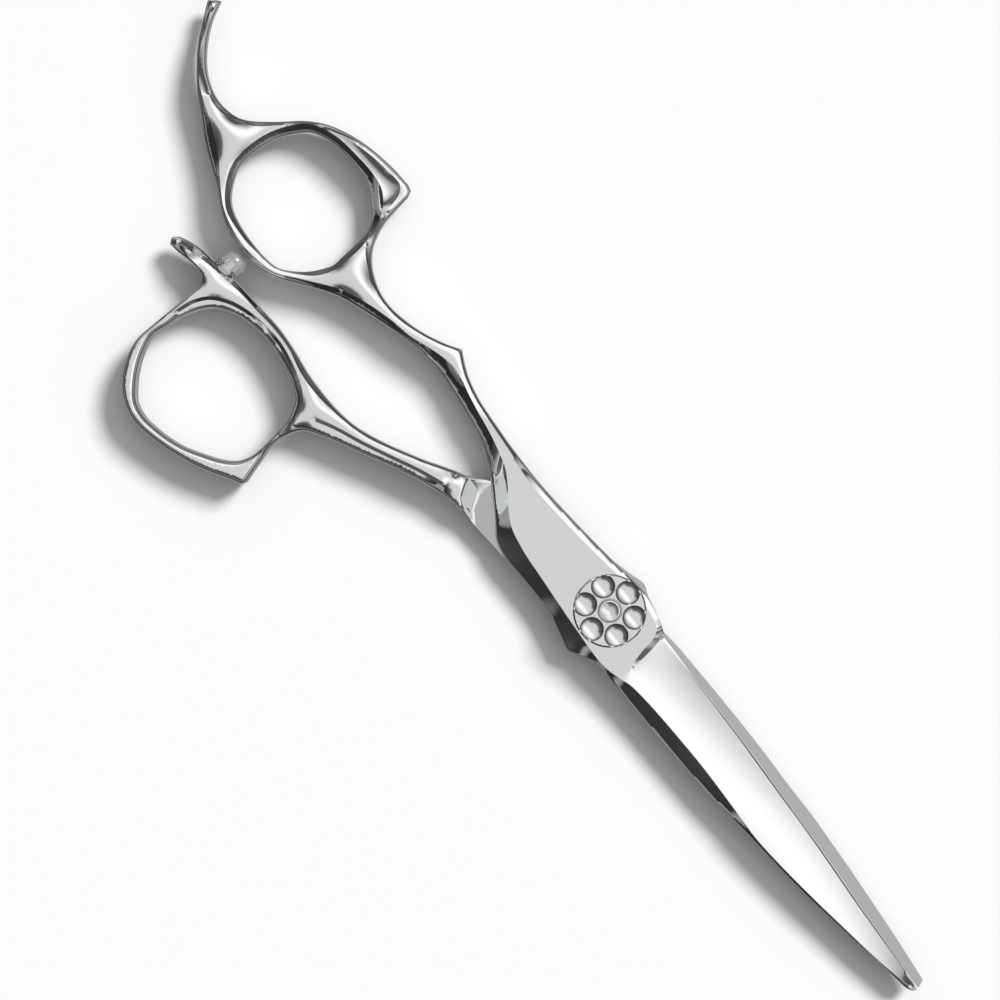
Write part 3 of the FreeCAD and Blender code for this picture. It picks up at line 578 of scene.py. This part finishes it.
# ---------------------------------------------------------------- thumb half
THUMB_RUNS = [
    # underside of the spur and outside of the ring
    [(-78.5, -15.5, 1.2), (-77, -15.35, 1.5), (-75, -14.95, 2.85), (-73.5, -14.75, 2.85),
     (-72.3, -14.9, 2.85), (-71.6, -15.4, 2.85), (-71.3, -16.4, 2.85), (-71.2, -18, 2.85),
     (-71.2, -25, 2.85), (-71.1, -27, 2.85), (-70.7, -28.5, 2.85), (-69.8, -30.2, 2.85),
     (-68.5, -32, 2.85), (-66.8, -33.5, 2.85), (-64.5, -34.6, 2.85),
     (-62, -35, 2.85), (-58.7, -34.5, 2.85), (-55, -33.4, 2.85), (-52.4, -32.4, 2.85), (-50, -31.2, 2.85),
     (-47.4, -29.6, 2.85)],
    [(-47.4, -29.6, 2.85), (-46, -28.8, 2.85), (-45.8, -28.0, 2.85)],
    # ring to the shank, heel and cutting edge
    [(-45.8, -28.0, 2.85), (-46.3, -26.4, 2.85), (-46.8, -24.6, 2.8), (-47.4, -22.5, 2.7),
     (-47.5, -20.9, 2.5), (-47.2, -19.3, 2.3), (-46.5, -17.6, 2.3), (-45, -16.4, 2.5), (-42.5, -14.95, 2.6),
     (-40, -13.7, 2.6), (-37.5, -12.45, 2.6), (-35, -11.1, 2.6), (-32.5, -9.95, 2.6), (-30, -8.9, 2.5),
     (-27.5, -8.0, 1.9), (-25, -7.4, 1.8), (-21, -7.15, 1.8), (-17, -6.9, 1.8), (-10, -6.5, 1.8),
     (-4, -6.7, 1.8), (0, -7.1, 1.8), (4, -6.2, 1.5), (8, -4.6, 0.3)],
    [(8, -4.6, 0.3), (12, -4.4, 0.18), (25, -4.1, 0.18), (40, -3.4, 0.18), (50, -2.5, 0.18),
     (60, -1.3, 0.18), (68, -0.2, 0.18)],
    [(68, -0.2, 0.18), (68.4, 0.5, 0.3), (68.0, 1.6, 0.6)],
    # spine and shoulder
    [(68.0, 1.6, 0.6), (65, 1.95, 0.9), (60, 2.5, 1.1), (55, 2.95, 1.2), (50, 3.4, 1.2), (45, 3.75, 1.2),
     (40, 4.05, 1.2), (35, 4.15, 1.1), (30, 4.35, 1.0), (25, 4.45, 1.0), (20, 4.45, 1.0), (15, 4.4, 1.1),
     (10, 4.3, 1.3), (6.4, 4.1, 1.5), (4, 4.7, 1.6), (1.3, 5.8, 1.8), (0.5, 6.15, 1.8), (-0.3, 6.1, 1.8),
     (-1.5, 5.7, 1.8), (-5, 4.8, 1.8), (-10, 3.2, 1.8), (-20, 0.3, 1.8), (-24.6, -1.6, 1.8),
     (-27, -3.5, 1.9), (-28.5, -4.3, 1.9), (-30, -5.2, 1.9), (-32.5, -6.75, 1.9), (-35, -8.1, 1.9),
     (-37.5, -9.4, 1.9), (-40, -10.5, 1.9), (-42.5, -11.35, 1.9), (-45, -11.8, 1.9), (-47, -11.95, 1.9),
     (-50, -11.95, 1.9), (-52.4, -11.8, 1.9), (-55, -11.4, 1.9), (-57.1, -11.15, 1.9),
     (-59.7, -11.0, 1.9), (-62.1, -11.1, 1.9), (-65, -11.3, 1.9), (-68.2, -11.5, 1.9),
     (-72.6, -12.1, 1.8), (-75, -12.45, 1.6), (-77.1, -13.1, 1.4), (-78.5, -13.8, 1.2)],
    [(-78.5, -13.8, 1.2), (-79.05, -14.7, 1.2), (-78.5, -15.5, 1.2)],
]
THUMB_HOLE = [
    (-69.7, -23, 2.8), (-69.5, -20.9, 2.5), (-68.6, -18, 2.3), (-67.6, -16.4, 2.3), (-66, -15.1, 2.35),
    (-64.2, -14.2, 2.35), (-62.4, -13.7, 2.3), (-60, -13.35, 2.3), (-57.9, -13.35, 2.35),
    (-56, -13.6, 2.4), (-53.9, -14.05, 2.45), (-52.1, -14.7, 2.45), (-50.5, -15.6, 2.3),
    (-49.6, -16.8, 2.3), (-48.95, -18.3, 2.3), (-48.55, -20.4, 2.4), (-48.2, -23.8, 2.8),
    (-48.3, -25.6, 2.85), (-48.95, -27.2, 2.85), (-50.5, -28.8, 2.85), (-52.6, -30.2, 2.85),
    (-55, -31.6, 2.85), (-57.4, -32.5, 2.85), (-60, -33.1, 2.85), (-61.8, -33.3, 2.85), (-64, -32.9, 2.85),
    (-66, -31.4, 2.85), (-67.9, -29.3, 2.85), (-69.2, -27.2, 2.85), (-69.9, -25.4, 2.85),
]
# Round the upper part of the thumb hole: a crest, a short steep slope and a flat bevel.
THUMB_CREST = level([
    (-70.55, -21.4), (-70.5, -20), (-70.2, -18), (-69.2, -15.9), (-67, -13.95), (-64.7, -12.95),
    (-62.5, -12.4), (-60, -12.1), (-57.4, -12.1), (-54.4, -12.65), (-51.9, -13.4), (-49.9, -14.5),
    (-48.5, -16.0), (-47.8, -18.2), (-47.75, -20.5)], 2.9)
THUMB_VALLEY = [
    (-70.1, -20.6, 2.5), (-69.7, -18, 2.42), (-68.65, -16, 2.42), (-66.65, -14.4, 2.5),
    (-64.5, -13.45, 2.45), (-62.4, -12.9, 2.4), (-60, -12.6, 2.42), (-57.6, -12.6, 2.5),
    (-54.6, -13.15, 2.6), (-52.2, -13.9, 2.7),
]
SPUR_RIDGE = [
    (-77.8, -14.6, 1.9), (-75.2, -13.7, 2.4), (-72.9, -13.1, 2.7), (-70.6, -12.7, 2.9), (-67, -12.15, 2.9),
    (-64.3, -11.95, 2.9),
]
THUMB_BEVEL = level([
    (-64, -11.95), (-60, -11.65), (-56.5, -11.8), (-52.5, -12.6), (-49, -12.75), (-46, -12.5),
    (-43, -11.95), (-40, -11.1), (-37.5, -9.95), (-34, -8.05), (-31, -6.35), (-28.4, -4.85)], 2.9)
# A narrow dark step along the shank: its top and its foot.
THUMB_FLANK = level([
    (-46.8, -14.9), (-44, -13.5), (-40, -11.85), (-36, -10.0), (-32, -8.1), (-28.2, -6.6)], 3.0)
THUMB_FLANK_FOOT = level([
    (-46.4, -15.35), (-43.8, -13.95), (-39.8, -12.3), (-35.8, -10.45), (-31.8, -8.55),
    (-28.0, -7.05)], 2.75)
# On the face turned to -Z, round the pivot, the same panel and ridge as on the finger half.
THUMB_PANEL = [
    (-24, -2.6, 2.5), (-20, -1.0, 2.4), (-10, 2.1, 2.4), (-5, 3.6, 2.4), (0, 4.9, 2.4), (3, 4.3, 2.4),
    (6.4, 3.3, 2.4), (10, 2.9, 2.35), (18, 2.7, 2.3), (25, 2.7, 2.2), (37, 3.4, 1.95), (50, 2.85, 1.65),
    (61, 1.95, 1.35), (66.5, 1.2, 1.0),
]
THUMB_FOOT = level([
    (-24, -6.5), (-17, -6.0), (-10, -5.6), (-4, -5.7), (0, -6.0), (4, -5.2), (7, -3.9)], THUMB_PANEL_HEIGHT)
THUMB_NOTCH = [(7.2, -3.7, 2.4), (7.5, -2, 2.4), (7.8, 0, 2.4), (8, 2, 2.4)]
THUMB_NOTCH_FOOT = [(8.3, -3.9, 0.4), (8.4, -2, 0.9), (8.5, 0, 1.6), (8.6, 2, 2.1)]


def thumb_step(y):
    """X of the same step on the thumb half."""
    return np.interp(y, (-7.4, -6.2, -3.8, -3), (-23.7, -25.6, -27.0, -27.2))


RAMP_LENGTH, RAMP_HOLLOW = 3.0, 1.3


def thumb_ramp(past):
    """Share of the handle's height left at a distance past the step."""
    return np.clip(1 - past / RAMP_LENGTH, 0, 1) ** RAMP_HOLLOW


def rounded_ring(loop, widths):
    """Broad rims on the thin side of the thumb ring, so that its section is round there."""
    share = np.interp(loop[:, 1], (-24, -20.5), (1, 0))
    return widths + (ROUND_RIM - widths) * share


thumb_outline = chain(THUMB_RUNS)
thumb_hole, thumb_hole_width = hole_loop(THUMB_HOLE, HOLE_RIM)
thumb_hole_width = rounded_ring(thumb_hole, thumb_hole_width)
thumb_width = rounded_ring(thumb_outline, rim_width(thumb_outline))
thumb_bore, thumb_bore_width = bore_loop(THUMB_BORE, THUMB_PANEL_HEIGHT)
thumb_creases = open_creases(
    THUMB_CREST, THUMB_VALLEY, SPUR_RIDGE, THUMB_BEVEL, THUMB_FLANK, THUMB_FLANK_FOOT, THUMB_PANEL,
    THUMB_FOOT, THUMB_NOTCH, THUMB_NOTCH_FOOT)
thumb_creases += race_rings(THUMB_PANEL_HEIGHT)
thumb = both_sides(
    "thumb_half_skin",
    [with_foot(thumb_outline, thumb_step), thumb_hole, thumb_bore],
    [thumb_width, thumb_hole_width, thumb_bore_width],
    thumb_creases, -1, thumb_step, blade_load, thumb_ramp)

# ---------------------------------------------------------------- dial
DIAL_TOP, DIAL_BOTTOM, DIAL_RADIUS = 7.7, 6.2, 5.1
DIAL_FACE, DIAL_RECESS, RECESS_DEPTH = 4.86, 1.75, 0.5
RECESS_TAPER = 0.86      # the recess narrows to this share of its radius
DIAL_BORE, DIAL_CAVITY, DIAL_FLOOR, NECK_RADIUS, NECK_TOP = 1.5, 4.55, 6.85, 2.65, 7.0
DIMPLE_PITCH, DIMPLE_START, DIMPLE_COUNT = 3.55, 36, 6
DIMPLE_RADIUS, DIMPLE_DEPTH = 1.7, 0.6
DIAL_POINTS, RECESS_POINTS, DIMPLE_POINTS = 240, 96, 72
DIAL_RIM, DIAL_SPACING = 0.02, 0.14
DIMPLES = []
for number in range(DIMPLE_COUNT):
    turn = math.radians(DIMPLE_START + 360 / DIMPLE_COUNT * number)
    DIMPLES.append((DIMPLE_PITCH * math.cos(turn), DIMPLE_PITCH * math.sin(turn)))


def dial_top(x, y):
    """Height of the dial's face, which is hollowed by round dimples."""
    ball = (DIMPLE_RADIUS ** 2 + DIMPLE_DEPTH ** 2) / (2 * DIMPLE_DEPTH)
    for centre in DIMPLES:
        away = math.hypot(x - centre[0], y - centre[1])
        if away < DIMPLE_RADIUS:
            return DIAL_TOP + ball - DIMPLE_DEPTH - math.sqrt(ball ** 2 - away ** 2)
    return DIAL_TOP


def join_rows(faces, last, row):
    """Quads between two closed rows of the same length."""
    for here in range(len(last)):
        after = (here + 1) % len(last)
        faces.append((int(last[here]), int(row[here]), int(row[after]), int(last[after])))


def make_dial():
    """The dimpled face, the turned side and underside, and the tapered recess at the middle."""
    outer = circle(DIAL_FACE, count=DIAL_POINTS)
    recess = circle(DIAL_RECESS, count=RECESS_POINTS, turn=-1)
    loops = [np.column_stack([loop, loop[:, 2]]) for loop in (outer, recess)]
    rims = [np.full(len(loop), DIAL_RIM) for loop in loops]
    rings = [(circle(DIMPLE_RADIUS, centre, DIMPLE_POINTS), True) for centre in DIMPLES]
    points, _, triangles, loop_ids, crisp = plan_mesh(loops, rims, rings, DIAL_SPACING)
    vertices = [(x, y, dial_top(x, y)) for x, y in points]
    faces = [tuple(map(int, triangle)) for triangle in triangles]
    outside = [
        (5.02, DIAL_TOP - 0.1), (DIAL_RADIUS, DIAL_TOP - 0.24), (DIAL_RADIUS, DIAL_BOTTOM + 0.1),
        (DIAL_RADIUS - 0.1, DIAL_BOTTOM), (DIAL_CAVITY, DIAL_BOTTOM), (DIAL_CAVITY, DIAL_FLOOR),
        (NECK_RADIUS, DIAL_FLOOR), (NECK_RADIUS, NECK_TOP), (DIAL_BORE, NECK_TOP),
        (DIAL_BORE, DIAL_TOP - RECESS_DEPTH)]
    last = loop_ids[0]
    angles = [math.atan2(points[index][1], points[index][0]) for index in last]
    for radius, z in outside:
        row = list(range(len(vertices), len(vertices) + len(last)))
        vertices += [(radius * math.cos(a), radius * math.sin(a), z) for a in angles]
        join_rows(faces, last, row)
        last = row
    top_row = loop_ids[1]
    foot_row = list(range(len(vertices), len(vertices) + len(top_row)))
    for index in top_row:
        x, y = points[index]
        vertices.append((RECESS_TAPER * x, RECESS_TAPER * y, DIAL_TOP - RECESS_DEPTH))
    join_rows(faces, top_row, foot_row)
    return make_object("dial_skin", vertices, faces, sharp=18, crisp=crisp)


dial = make_dial()
# Radius and height: head, journal, stud and the hollow in the stud's end.
screw = lathe("pivot_screw_skin", [
    (0.01, 0), (4.25, 0), (4.42, 0.07), (4.5, 0.25), (4.5, 0.6), (2.5, 0.6), (2.5, 3.2), (1.98, 3.2),
    (1.98, 6.7), (1.45, 6.7), (1.45, 7.44), (1.41, 7.52), (1.34, 7.55), (1.25, 7.55),
    (1.2, 7.52), (0.01, 7.1)])

# ---------------------------------------------------------------- bumper
# Sections are radius and place along Y.
BUMPER_AT = (-70.8, 0, MIDDLE)
BUMPER_RADIUS, DOME_FOOT = 1.7, -10.12
dome = []
for degrees in range(0, 90, 6):
    turn = math.radians(degrees)
    dome.append((BUMPER_RADIUS * math.cos(turn), DOME_FOOT + BUMPER_RADIUS * math.sin(turn)))
bumper = lathe(
    "bumper_skin", [(0.81, -11.2), (1.62, -11.2), (BUMPER_RADIUS, -11.1)] + dome + [(0.02, -8.42)],
    BUMPER_AT, lengthwise=True)
PEG_RADIUS, RIB_RADIUS, GROOVE_RADIUS, RIB_PITCH = 0.79, 1.88, 1.62, 0.42
section = [(PEG_RADIUS, -14.1), (PEG_RADIUS, -12.6), (1.7, -12.6)]
for number in range(3):
    low = -12.52 + number * RIB_PITCH
    section += [(RIB_RADIUS, low), (RIB_RADIUS, low + 0.2)]
    section += [(GROOVE_RADIUS, low + 0.27), (GROOVE_RADIUS, low + 0.36)]
section += [(1.6, -11.22), (PEG_RADIUS, -11.21), (PEG_RADIUS, -10.21)]
ferrule = lathe("bumper_ferrule_skin", section, BUMPER_AT, lengthwise=True)


# ---------------------------------------------------------------- materials
def node_tree(name):
    material = bpy.data.materials.new(name)
    material.use_nodes = True
    tree = material.node_tree
    return material, tree, tree.nodes["Principled BSDF"]


def noise(tree, scale, detail=4.0, stretch_by=(1, 1, 1), roughness=0.5):
    place = tree.nodes.new("ShaderNodeTexCoord")
    mapping = tree.nodes.new("ShaderNodeMapping")
    mapping.inputs["Scale"].default_value = stretch_by
    texture = tree.nodes.new("ShaderNodeTexNoise")
    texture.inputs["Scale"].default_value = scale
    texture.inputs["Detail"].default_value = detail
    texture.inputs["Roughness"].default_value = roughness
    tree.links.new(place.outputs["Object"], mapping.inputs["Vector"])
    tree.links.new(mapping.outputs["Vector"], texture.inputs["Vector"])
    return texture.outputs["Fac"]


def remap(tree, value, low, high):
    item = tree.nodes.new("ShaderNodeMapRange")
    item.inputs["To Min"].default_value = low
    item.inputs["To Max"].default_value = high
    tree.links.new(value, item.inputs["Value"])
    return item.outputs["Result"]


def bump(tree, shader, value, strength, distance):
    item = tree.nodes.new("ShaderNodeBump")
    item.inputs["Strength"].default_value = strength
    item.inputs["Distance"].default_value = distance
    tree.links.new(value, item.inputs["Height"])
    tree.links.new(item.outputs["Normal"], shader.inputs["Normal"])


def steel(name, color, rough, brush=(1, 1, 1), scale=900, strength=0.03):
    """Bare metal with faint smears in its polish and a fine grain along one direction."""
    material, tree, shader = node_tree(name)
    shader.inputs["Metallic"].default_value = 1.0
    shader.inputs["Base Color"].default_value = (*color, 1)
    smear = noise(tree, 45, 5)
    tree.links.new(remap(tree, smear, rough[0], rough[1]), shader.inputs["Roughness"])
    bump(tree, shader, noise(tree, scale, 3, brush), strength, 0.00002)
    return material


def plastic(name, color, rough, subsurface=0.0, transmission=0.0):
    material, tree, shader = node_tree(name)
    shader.inputs["Base Color"].default_value = (*color, 1)
    shader.inputs["Subsurface Weight"].default_value = subsurface
    shader.inputs["Subsurface Scale"].default_value = 0.001
    shader.inputs["Transmission Weight"].default_value = transmission
    tree.links.new(remap(tree, noise(tree, 300, 4), rough[0], rough[1]), shader.inputs["Roughness"])
    bump(tree, shader, noise(tree, 1500, 3), 0.05, 0.00002)
    return material


polished = steel("polished_steel", (0.86, 0.87, 0.88), (0.03, 0.09))
satin = steel("satin_steel", (0.56, 0.57, 0.58), (0.2, 0.32), (1, 14, 1), 500, 0.12)
chrome = steel("dial_chrome", (0.88, 0.88, 0.89), (0.03, 0.07))
screw_steel = steel("screw_steel", (0.8, 0.8, 0.81), (0.1, 0.2), scale=1200, strength=0.05)
spring_steel = steel("spring_steel", (0.62, 0.63, 0.65), (0.18, 0.3))
brass = steel("cage_brass", (0.83, 0.66, 0.34), (0.14, 0.28))
ball_steel = steel("ball_steel", (0.82, 0.82, 0.83), (0.03, 0.08))
ferrule_steel = steel("ferrule_steel", (0.66, 0.67, 0.69), (0.1, 0.22))
polymer = plastic("white_polymer", (0.86, 0.86, 0.84), (0.35, 0.5), 0.1)
silicone = plastic("clear_silicone", (0.8, 0.81, 0.81), (0.16, 0.28), 0.0, 0.8)

for item, node, body, slot, materials in (
        (finger, "finger_blade", "finger_half", "polished_steel", (polished, satin)),
        (thumb, "thumb_blade", "thumb_half", "polished_steel", (polished, satin)),
        (dial, "tension_dial", "dial", "dial_chrome", (chrome,)),
        (screw, "pivot_screw", "finger_half", "screw_steel", (screw_steel,)),
        (bumper, "bumper", "thumb_half", "clear_silicone", (silicone,)),
        (ferrule, "bumper_ferrule", "thumb_half", "ferrule_steel", (ferrule_steel,))):
    for material in materials:
        item.data.materials.append(material)
    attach(item, body)
    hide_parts(node)

kept = {"head_washer": polymer, "seat_washer": polymer, "thumb_bush": polymer,
        "spring_washer": spring_steel, "click_plate": spring_steel, "bearing_cage": brass}
for number in range(1, 9):
    kept["thrust_ball_%d" % number] = ball_steel
for node, material in kept.items():
    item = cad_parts[node]
    item.data.materials.clear()
    item.data.materials.append(material)

# ---------------------------------------------------------------- floor, light and camera
FLOOR_REACH = 1.5
floor_mesh = bpy.data.meshes.new("floor")
corners = [(-FLOOR_REACH, -FLOOR_REACH, 0), (FLOOR_REACH, -FLOOR_REACH, 0),
           (FLOOR_REACH, FLOOR_REACH, 0), (-FLOOR_REACH, FLOOR_REACH, 0)]
floor_mesh.from_pydata(corners, [], [(0, 1, 2, 3)])
floor = bpy.data.objects.new("floor", floor_mesh)
floor.location.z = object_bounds()[0][2] - 0.0001
bpy.context.scene.collection.objects.link(floor)
floor_material, floor_tree, floor_shader = node_tree("floor")
floor_shader.inputs["Base Color"].default_value = (0.66, 0.66, 0.66, 1)
floor_shader.inputs["Specular IOR Level"].default_value = 0.1
floor_rough = remap(floor_tree, noise(floor_tree, 60, 3), 0.7, 0.8)
floor_tree.links.new(floor_rough, floor_shader.inputs["Roughness"])
floor_mesh.materials.append(floor_material)
floor.visible_glossy = False

world = bpy.data.worlds.new("studio")
bpy.context.scene.world = world
world.use_nodes = True
sky = world.node_tree
background = sky.nodes["Background"]
place = sky.nodes.new("ShaderNodeTexCoord")
split = sky.nodes.new("ShaderNodeSeparateXYZ")
sky.links.new(place.outputs["Generated"], split.inputs["Vector"])


def blend_between(value, low, high, dark, bright, kind):
    item = sky.nodes.new("ShaderNodeMapRange")
    item.interpolation_type = kind
    for socket, number in (("From Min", low), ("From Max", high), ("To Min", dark), ("To Max", bright)):
        item.inputs[socket].default_value = number
    sky.links.new(value, item.inputs["Value"])
    return item.outputs["Result"]


def combine(kind, one, two):
    item = sky.nodes.new("ShaderNodeMath")
    item.operation = kind
    sky.links.new(one, item.inputs[0])
    sky.links.new(two, item.inputs[1])
    return item.outputs["Value"]


def tones(value, stops):
    """Brightness against height in the sky; each stop is the sine of the elevation and a tone."""
    item = sky.nodes.new("ShaderNodeValToRGB")
    band = item.color_ramp
    while len(band.elements) < len(stops):
        band.elements.new(0.5)
    for element, (height, tone) in zip(band.elements, stops):
        element.position = (height + 1) / 2
        element.color = (tone, tone, tone, 1)
    sky.links.new(blend_between(value, -1, 1, 0, 1, "LINEAR"), item.inputs["Fac"])
    return item.outputs["Color"]


# FRONT is the sky on the thumb side and BACK the rest of it: a soft box overhead, a dark band
# above the horizon, and greys below it, where steep walls look at the table.
FRONT = [
    (-1, 0.32), (-0.88, 0.22), (-0.74, 0.03), (-0.42, 0.02), (-0.3, 0.2), (-0.12, 0.36), (-0.02, 0.28),
    (0.08, 0.03), (0.3, 0.04), (0.45, 0.06), (0.72, 0.14), (0.84, 0.66), (1, 0.73)]
BACK = [
    (-1, 0.3), (-0.86, 0.24), (-0.72, 0.06), (-0.5, 0.1), (-0.25, 0.4), (-0.03, 0.6), (0.06, 0.4),
    (0.15, 0.08), (0.38, 0.1), (0.55, 0.5), (0.7, 0.71), (1, 0.73)]
side = blend_between(split.outputs["Y"], -0.45, -0.1, 0, 1, "SMOOTHSTEP")
rise = blend_between(split.outputs["Y"], 0.08, 0.42, 1.0, 1.6, "SMOOTHSTEP")
fall = blend_between(split.outputs["Y"], 0.48, 0.78, 1.0, 0.6, "SMOOTHSTEP")
lift = combine("MULTIPLY", rise, fall)
mixed = sky.nodes.new("ShaderNodeMix")
mixed.data_type = "RGBA"
sky.links.new(side, mixed.inputs["Factor"])
sky.links.new(tones(split.outputs["Z"], FRONT), mixed.inputs["A"])
sky.links.new(tones(split.outputs["Z"], BACK), mixed.inputs["B"])
sky.links.new(mixed.outputs["Result"], background.inputs["Color"])
sky.links.new(lift, background.inputs["Strength"])

sun_data = bpy.data.lights.new("key", "SUN")
sun_data.energy = 4.0
sun_data.angle = math.radians(18)
sun = bpy.data.objects.new("key", sun_data)
sun.rotation_euler = (math.radians(-42), 0, 0)
sun.visible_glossy = False
bpy.context.scene.collection.objects.link(sun)

# The camera looks straight down on a square of the given width.
LENS, SENSOR, VIEW_WIDTH = 120, 36, 0.1396
camera_data = bpy.data.cameras.new("camera")
camera_data.lens = LENS
camera_data.sensor_width = SENSOR
camera_data.clip_end = 10
camera = bpy.data.objects.new("camera", camera_data)
camera.location = (-0.02156, -0.00214, 0.005 + VIEW_WIDTH * LENS / SENSOR)
camera.rotation_euler = (0, 0, math.radians(51))
bpy.context.scene.collection.objects.link(camera)
bpy.context.scene.camera = camera
bpy.context.scene.view_settings.view_transform = "Standard"
